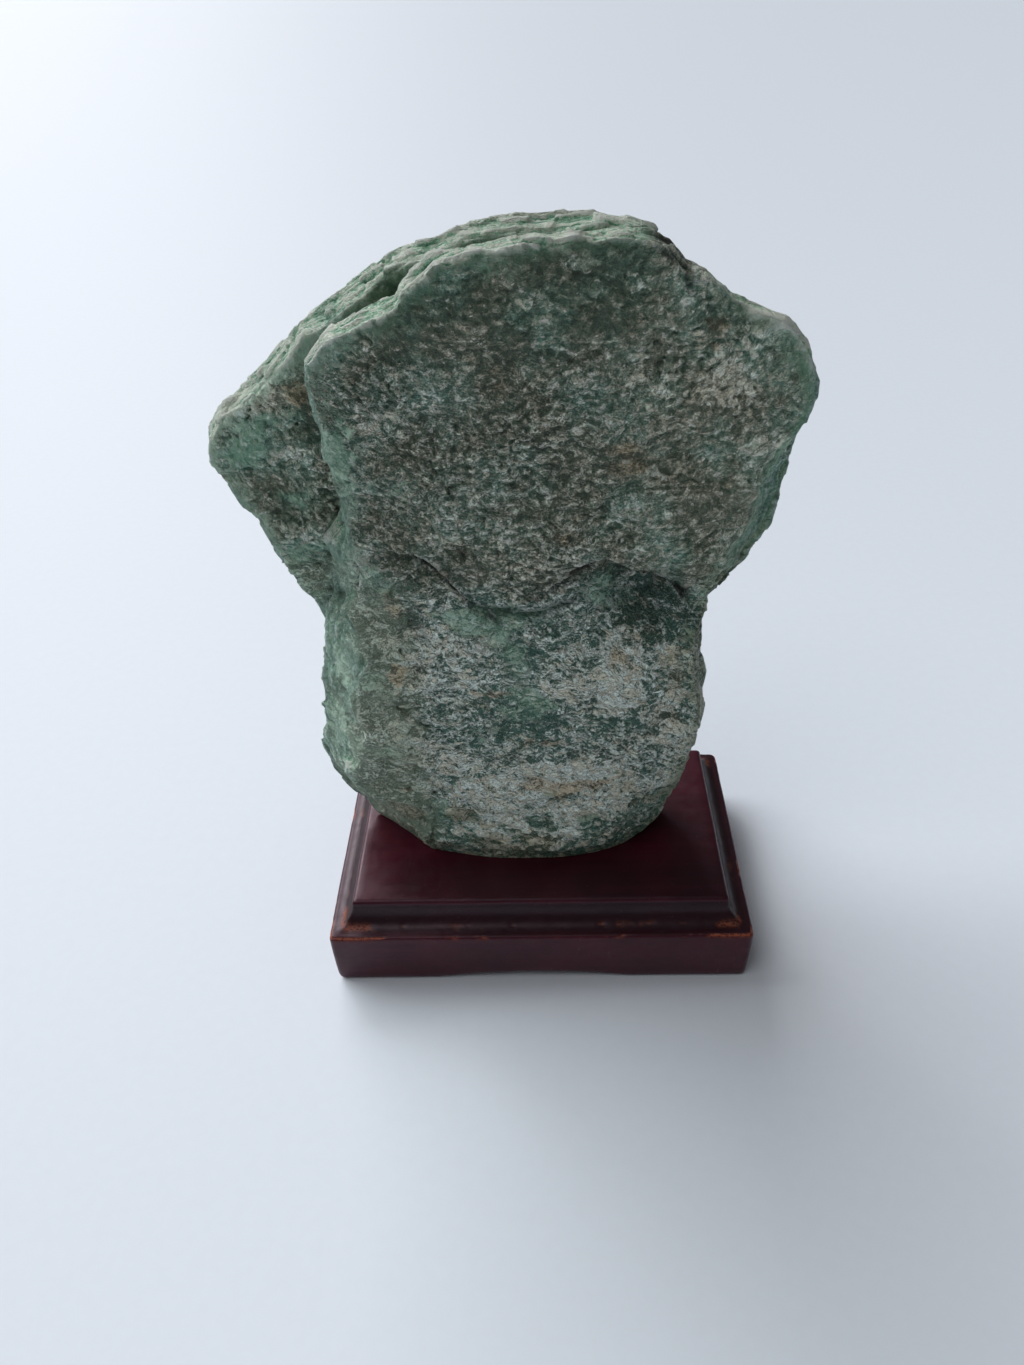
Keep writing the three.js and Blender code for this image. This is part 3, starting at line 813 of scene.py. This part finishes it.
def grain_of(p):
    """Coordinates in which the flakes lie flat, turned patch by patch and gently crumpled."""
    x, _, z = p.split(p.place)
    across = p.plus(p.spread_noise(p.scaled(p.place, GRAIN_PATCH), 1, 0.5, 130), x, 1 / MM)
    upper = p.range(z, FAN_LOW * MM, FAN_HIGH * MM)
    lower = p.math("SUBTRACT", 1, upper)
    angle = p.plus(p.times(upper, across), lower, p.plus(LUMP_DIP, across, LUMP_FAN))
    angle = p.math("ROUND", p.math("DIVIDE", angle, GRAIN_STEP))
    angle = p.times(angle, math.radians(GRAIN_STEP))
    bent = p.place
    for size, reach in ((6, 4), (2, 1), (0.5, 0.3)):
        wobble = p.noise(p.scaled(p.place, size), 2, 0.6, output="Color")
        bent = p.vector("MULTIPLY_ADD", wobble, (reach * MM,) * 3, bent)
    return p.node("VectorRotate", {"Vector": bent, "Axis": (0, 1, 0), "Angle": angle}).outputs[0]


FlakeLayer = namedtuple("FlakeLayer", "chance hue dome seam")


def flake_layer(p, grain, size):
    """One layer of flakes: two random numbers for each, its slanting dome, and the seams between."""
    place = p.scaled(grain, size)
    flake = p.node("TexVoronoi", {"Vector": place, "Scale": 1})
    border = p.node("TexVoronoi", {"Vector": place, "Scale": 1}, feature="DISTANCE_TO_EDGE")
    seam = p.range(border.outputs["Distance"], 0.0, 0.14)
    plate = p.vector("SUBTRACT", place, flake.outputs["Position"])
    slant = p.vector("SUBTRACT", flake.outputs["Color"], (0.5, 0.5, 0.5))
    slope = p.vector("DOT_PRODUCT", slant, plate)
    dome = p.math("SUBTRACT", slope, flake.outputs["Distance"])
    chance, hue, _ = p.split(flake.outputs["Color"])
    return FlakeLayer(chance, hue, dome, seam)


class StonePaper(Paper):
    """The stone's material, with the patterns and masks that its colours share."""

    def __init__(self):
        super().__init__("fuchsite")
        grain = grain_of(self)
        self.big = flake_layer(self, grain, (2.1, 1.5, 1.2))
        self.small = flake_layer(self, grain, (0.95, 0.8, 0.6))
        self.fibre = self.spread_noise(self.scaled(grain, (1.5, 1.1, 0.8)), 5, 0.8)
        self.clump = self.spread_noise(self.scaled(grain, (5, 4, 3.6)), 5, 0.75)
        self.grit = self.spread_noise(self.scaled(self.place, (0.42, 0.4, 0.34)), 3, 0.7)
        self.granules = self.spread_noise(self.scaled(self.place, (1.1, 0.6, 1.1)), 4, 0.75)
        self.cloud = self.spread_noise(self.scaled(self.place, 12), 4, 0.65)
        gaps = self.spread_noise(self.scaled(grain, (3.2, 1.5, 1.2)), 4, 0.7)
        self.gap = self.range(self.math("ABSOLUTE", gaps), 0.025, 0.005)
        self.seams = self.times(self.plus(0.78, self.big.seam, 0.22),
                                self.plus(0.85, self.small.seam, 0.15))
        self.read_numbers()
        self.lay_regions()
        self.tone = stone_tone(self)
        self.soft = self.plus(self.fibre, 0.5)
        self.olive = self.mix(self.range(self.tone, 0.2, 0.9), paint(98, 100, 76), paint(188, 184, 154))

    def read_numbers(self):
        """The numbers kept on the mesh, the pale and dark ones with ragged outlines."""
        self.green = self.number("green")
        self.rust = self.number("rust")
        self.edge = self.number("edge")
        self.margin = self.number("margin")
        self.broad = self.number("broad_ridge")
        self.shade = self.number("shade")
        self.painted_top_light = self.number("painted_top_light")
        self.pale = self.range(self.plus(self.number("pale"), self.clump, 2.2), 0.3, 0.7)
        self.dark = self.range(self.plus(self.number("dark"), self.clump, -1.6), 0.25, 0.75)

    def lay_regions(self):
        """Masks of the front: the lump, the foot, the calmer outer parts and the muted right side."""
        self.x, y, self.z = self.split(self.place)
        before = self.range(y, 6 * MM, 0)
        self.lump = self.times(self.range(self.z, LUMP_TOP * MM, LUMP_FULL * MM), before)
        self.foot = self.times(self.range(self.z, 46 * MM, 28 * MM), before)
        calm = self.plus(self.range(self.x, 5 * MM, 35 * MM), self.range(self.x, -35 * MM, -45 * MM))
        calm = self.plus(calm, self.range(self.z, CREST_LOW * MM, CREST_HIGH * MM))
        calm = self.times(calm, self.math("SUBTRACT", before, self.lump))
        self.calm = self.plus(calm, self.foot, 1.6, clamp=True)
        low = self.range(self.plus(self.z, self.clump, 90 * MM), 116 * MM, 82 * MM)
        aside = self.times(self.range(self.x, 14 * MM, 26 * MM), before)
        self.muted = self.plus(self.foot, aside, low, clamp=True)


def stone_tone(p):
    """How light the stone is from flake to flake, from about 0 to 1."""
    tone = p.plus(-0.2, p.big.chance, 0.2)
    tone = p.plus(tone, p.small.chance, 0.2)
    tone = p.plus(tone, p.fibre, p.plus(2.3, p.lump, 1.1))
    tone = p.plus(tone, p.grit, 1.6)
    tone = p.plus(tone, p.clump, p.plus(0.7, p.lump, 0.7))
    tone = p.times(tone, p.plus(1, p.lump, 0.55))
    tone = p.times(tone, p.plus(1, p.calm, -0.38))
    tone = p.plus(tone, p.calm, -0.05)
    tone = p.plus(tone, p.cloud, 0.35)
    tone = p.plus(tone, p.pale, p.plus(0.27, p.lump, 0.2))
    # Dark patches lower the tone; two of them are painted shade in the hollow.
    tone = p.plus(tone, p.dark, p.plus(-0.22, p.lump, -0.16))
    # Painted shade in small pits and painted light on small crests of the relief.
    tone = p.plus(tone, p.number("fine_relief_shading"), 1.2)
    tone = p.plus(tone, p.plus(0.56, p.lump, 0.14))
    return p.plus(tone, p.foot, -0.14)


def flake_colour(p):
    """Grey to teal from place to place, with beige flakes, painted glints on a few flakes, and dark
    gaps.
    """
    leafy = p.plus(p.plus(0.22, p.green, 0.6), p.cloud, 3.5)
    leafy = p.plus(leafy, p.lump, 0.76)
    leafy = p.plus(leafy, p.clump, clamp=True)
    grey = p.ramp(p.tone, (0.15, paint(76, 92, 74)), (0.4, paint(118, 130, 109)),
                  (0.54, paint(149, 152, 130)), (0.7, paint(185, 187, 165)),
                  (0.9, paint(241, 242, 222)))
    teal = p.ramp(p.tone, (0.15, paint(80, 120, 106)), (0.36, paint(118, 168, 146)),
                  (0.54, paint(152, 192, 172)), (0.68, paint(202, 230, 212)),
                  (0.86, paint(242, 255, 246)))
    colour = p.mix(leafy, grey, teal)
    warm = p.plus(p.plus(p.big.hue, p.clump, 2.2), p.pale, 0.25)
    warm = p.plus(warm, p.lump, -0.15)
    beige = p.times(p.range(warm, 0.5, 0.95), p.range(p.tone, 0.45, 0.65))
    beige = p.times(beige, p.plus(0.5, p.lump, 0.12))
    colour = p.mix(beige, colour, p.mix(p.tone, paint(122, 112, 86), paint(228, 218, 188)))
    # Painted glints: a few small flakes near white, as if catching the light.
    painted_glint = p.times(p.range(p.small.hue, 0.88, 0.93), p.range(p.tone, 0.4, 0.6))
    colour = p.mix(painted_glint, colour, paint(236, 238, 226))
    colour = p.mix(p.times(p.gap, 0.6), colour, paint(50, 56, 48))
    return p.mix(p.math("SUBTRACT", 1, p.seams), colour, paint(38, 50, 46))


def massive_green(p):
    """Where the stone is smooth green, without flakes."""
    patch = p.plus(p.plus(p.green, p.fibre, 1.6), p.clump, 2.4)
    return p.range(p.plus(patch, p.lump, 0.1), 0.66, 0.86)


def with_patches(p, colour, massive):
    """Adds the smooth green, the flaky left margin of the lump, and the rusty stains."""
    smooth = p.mix(p.soft, paint(92, 142, 116), paint(142, 178, 152))
    smooth = p.mix(p.range(p.small.chance, 0.86, 0.92), smooth, paint(190, 206, 192))
    colour = p.mix(p.times(massive, 0.72), colour, smooth)
    flaky = p.range(p.plus(p.x, p.clump, 24 * MM), -23 * MM, -28 * MM)
    pale_olive = p.mix(p.soft, paint(128, 150, 124), paint(204, 214, 188))
    colour = p.mix(p.times(p.times(flaky, p.lump), 0.6), colour, pale_olive)
    rusty = p.mix(p.range(p.tone, 0.2, 0.9), paint(92, 76, 52), paint(206, 180, 140))
    rusty = p.mix(p.times(p.muted, 0.8), rusty, p.olive)
    stain = p.plus(p.plus(p.rust, p.fibre, 0.6), p.clump, 1.2)
    stain = p.plus(stain, p.foot, 0.4)
    return p.mix(p.times(p.range(stain, 0.5, 1.0), 0.55), colour, rusty)


def with_margin(p, colour):
    """Adds the deeper green beside the broken edges, pale at the left and dark at the top."""
    green = p.mix(p.soft, paint(84, 136, 106), paint(140, 184, 152))
    green = p.mix(p.range(p.x, -26 * MM, -34 * MM, 0, 0.9), green, paint(190, 220, 196))
    green = p.mix(p.range(p.z, CREST_LOW * MM, CREST_HIGH * MM, 0, 0.55), green, paint(78, 104, 84))
    green = p.mix(p.times(p.muted, 0.75), green, p.olive)
    beside = p.plus(p.plus(p.margin, p.fibre, 0.7), p.clump, 1.2)
    return p.mix(p.times(p.range(beside, 0.08, 0.42), 0.74), colour, green)


def layering(p):
    """The pattern of the broken edges: thin sheets seen end-on, grainy, with painted top light where
    they face up and painted highlights on their crests.
    """
    sheets = p.spread_noise(p.scaled(p.place, (7, 0.5, 7)), 5, 0.7)
    layered = p.times(sheets, p.plus(0.4, p.painted_top_light, 1.3))
    layered = p.plus(layered, p.granules, 1.7)
    layered = p.plus(layered, p.grit, 0.5)
    layered = p.plus(layered, p.clump, 0.8)
    layered = p.plus(layered, p.pale, 0.15)
    # Painted highlights on convex crests that face up.
    crest_highlight = p.times(p.range(p.broad, -0.3, 0.8), p.plus(0.5, p.cloud, 1.6))
    layered = p.plus(layered, crest_highlight, p.painted_top_light)
    return p.plus(layered, p.plus(0.4, p.painted_top_light, 0.12))


def with_rims(p, colour, layered):
    """Adds the pale green of the broken edges, deeper with painted shade where they don't face up, with
    painted highlights on their upward lips.
    """
    rim = p.ramp(layered, (0.1, paint(58, 110, 84)), (0.34, paint(122, 182, 150)),
                 (0.56, paint(176, 226, 196)), (0.72, paint(248, 255, 242)))
    # Painted light and shade: rims facing up are warmed a little, the others darkened and cooled.
    rim_light_tint = p.mix(p.painted_top_light, (0.77, 0.73, 0.84, 1), (1, 1, 0.94, 1))
    rim = p.mix(1, rim, rim_light_tint, "MULTIPLY")
    # Painted highlights, near white, on the upward lips of the broken edges.
    lip = p.times(p.range(p.broad, 0.2, 0.6), p.painted_top_light)
    rim = p.mix(p.times(lip, p.range(p.granules, -0.1, 0.05)), rim, paint(248, 254, 244))
    rim = p.mix(p.times(p.muted, 0.6), rim, p.olive)
    return p.mix(p.times(p.edge, p.plus(0.62, p.painted_top_light, 0.33)), colour, rim)


def fuchsite():
    """Mica schist: teal ground, silvery and beige flakes, smooth green patches, pale green rims."""
    p = StonePaper()
    massive = massive_green(p)
    layered = layering(p)
    colour = with_patches(p, flake_colour(p), massive)
    colour = with_rims(p, with_margin(p, colour), layered)
    # Painted shade in concave creases and between layers, where the broad relief dips.
    crease_shade = p.range(p.broad, -0.15, -0.8)
    colour = p.mix(p.times(crease_shade, 0.75), colour, paint(52, 46, 34))
    # Painted shade, brownish dark, in the cracks and the hollow.
    colour = p.mix(p.times(p.shade, 0.88), colour, paint(32, 32, 26))

    height = p.plus(p.times(p.small.dome, 0.35), p.big.dome, 0.6)
    height = p.plus(height, p.range(p.tone, 0, 1), 0.8)
    height = p.plus(height, p.seams, 0.5)
    height = p.times(height, p.plus(1, massive, -0.6))
    height = p.times(height, p.plus(1, p.calm, -0.3))
    height = p.plus(height, layered, p.edge)
    normal = p.bumped(height, 0.6, 1.0)
    roughness = p.range(p.tone, 0.2, 0.9, 0.6, 0.36)
    return p.surface(Base_Color=colour, Roughness=roughness, Normal=normal)


def plain_floor():
    p = Paper("pale_floor")
    grit = p.noise(p.scaled(p.place, 3), 2)
    colour = p.mix(grit, paint(224, 230, 238), paint(228, 234, 242))
    return p.surface(Base_Color=colour, Roughness=0.55)


def painted_stand_shade(p):
    """Painted shade on the lacquer: most on the riser's cove, and some on the top in front of the
    stone, where the stone shades it.
    """
    x, y, z = p.split(p.place)
    riser = p.times(p.range(z, (PLINTH_TOP - 0.4) * MM, (PLINTH_TOP + 0.2) * MM),
                    p.range(z, (STAND_TOP - 0.3) * MM, (STAND_TOP - 1.5) * MM))
    before = p.times(p.range(z, (STAND_TOP - 0.7) * MM, (STAND_TOP - 0.2) * MM),
                     p.range(y, -8 * MM, -20 * MM))
    before = p.times(before, p.range(x, -42 * MM, -30 * MM))
    return p.plus(p.times(before, 0.5), riser, 0.75)


def lacquer():
    """Dark burgundy lacquer over fine-grained wood, worn to orange-brown along its edges, with painted
    shade on its riser and in front of the stone.
    """
    p = Paper("lacquered_wood")
    grain = p.noise(p.scaled(p.place, (30, 1.3, 1.3)), 4, 0.6)
    pores = p.noise(p.scaled(p.place, (4, 0.2, 0.2)), 3, 0.7)
    cloud = p.noise(p.scaled(p.place, 16), 4, 0.6)
    smear = p.noise(p.scaled(p.place, (3, 3, 2)), 4, 0.65)
    tone = p.plus(p.times(cloud, 0.65), grain, 0.35)
    colour = p.ramp(tone, (0.34, paint(50, 9, 20)), (0.5, paint(62, 12, 26)),
                    (0.66, paint(74, 17, 33)))
    # Painted shade, near black, on the riser and on the top in front of the stone.
    colour = p.mix(painted_stand_shade(p), colour, paint(16, 9, 12))
    thin = p.range(p.plus(p.number("ridge"), smear, 0.12), 0.13, 0.3)
    colour = p.mix(p.times(thin, 0.4), colour, paint(92, 34, 34))
    bare = p.mix(pores, paint(126, 58, 36), paint(196, 110, 70))
    speckle = p.range(p.noise(p.scaled(p.place, (0.9, 0.6, 0.35)), 3, 0.7), 0.38, 0.52)
    worn = p.times(p.number("worn"), speckle)
    colour = p.mix(worn, colour, bare)
    scratches = p.noise(p.scaled(p.place, (0.3, 0.3, 5)), 2, 0.5)
    scratches = p.times(p.range(scratches, 0.69, 0.74), p.range(cloud, 0.5, 0.62))
    dust = p.range(p.noise(p.scaled(p.place, 0.7), 2, 0.5), 0.7, 0.78)
    marks = p.plus(p.times(scratches, 0.25), dust, 0.1)
    colour = p.mix(marks, colour, paint(170, 130, 140))
    height = p.plus(p.times(smear, 0.6), pores, 0.25)
    height = p.plus(height, worn, -0.6)
    normal = p.bumped(height, 0.12, 0.4)
    roughness = p.plus(p.range(smear, 0.3, 0.75, 0.3, 0.44), worn, 0.3)
    return p.surface(Base_Color=colour, Roughness=roughness, Normal=normal, Specular_IOR_Level=0.38,
                     Specular_Tint=(1, 0.82, 0.92, 1))


# ---- Stage, light and camera ----


FLOOR_REACH = 8  # m from the middle of the floor to its sides


def make_floor():
    mesh = bpy.data.meshes.new("floor")
    corners = [(x * FLOOR_REACH, y * FLOOR_REACH, 0) for x, y in ((-1, -1), (1, -1), (1, 1), (-1, 1))]
    mesh.from_pydata(corners, [], [(0, 1, 2, 3)])
    floor = bpy.data.objects.new("floor", mesh)
    bpy.context.scene.collection.objects.link(floor)
    mesh.materials.append(plain_floor())


def make_light(name, place, spread_angle, strength, colour):
    """A far, soft light: the direction that it comes from, and how wide it looks in degrees."""
    light = bpy.data.lights.new(name, "SUN")
    light.angle = math.radians(spread_angle)
    light.energy = strength
    light.color = colour
    lamp = bpy.data.objects.new(name, light)
    bpy.context.scene.collection.objects.link(lamp)
    lamp.rotation_euler = Vector(place).to_track_quat("Z", "Y").to_euler()


def make_world():
    world = bpy.data.worlds.new("studio")
    world.use_nodes = True
    background = world.node_tree.nodes["Background"]
    background.inputs["Color"].default_value = (0.95, 0.975, 1, 1)
    background.inputs["Strength"].default_value = 0.12
    bpy.context.scene.world = world


CAMERA_PLACE = Vector((2.39, -181.86, 205.74))  # mm, from the stand's middle on the floor
CAMERA_DOWN = 0.652  # radians that the camera looks down
CAMERA_LEFT = 0.04185  # radians that it is turned to the left
CAMERA_ROLL = 0.04427  # radians that it is rolled clockwise
SENSOR_SIZE = 36
FOCAL_SHARE = 1000 / 1365  # focal length as a share of the picture's long side


def make_camera():
    data = bpy.data.cameras.new("camera")
    data.sensor_width = SENSOR_SIZE
    data.lens = SENSOR_SIZE * FOCAL_SHARE
    data.clip_start = 0.01
    camera = bpy.data.objects.new("camera", data)
    bpy.context.scene.collection.objects.link(camera)
    turn = Matrix.Rotation(CAMERA_LEFT, 4, "Z")
    tilt = Matrix.Rotation(math.pi / 2 - CAMERA_DOWN, 4, "X")
    roll = Matrix.Rotation(-CAMERA_ROLL, 4, "Z")
    place = Matrix.Translation((CAMERA_PLACE + Vector(STAND_MIDDLE)) * MM)
    camera.matrix_world = place @ turn @ tilt @ roll
    bpy.context.scene.camera = camera


bpy.context.scene.view_settings.view_transform = "Standard"
make_camera()
make_world()
make_light("window", (-0.7, 0.42, 0.66), 46, 2.2, (0.94, 0.975, 1))
make_light("window_glow", (-0.34, 0.76, 0.56), 30, 1.2, (0.98, 0.97, 1))
make_light("ceiling", (-0.42, -0.4, 1), 34, 0.5, (0.98, 0.99, 1))
make_floor()
make_stone()
make_stand()
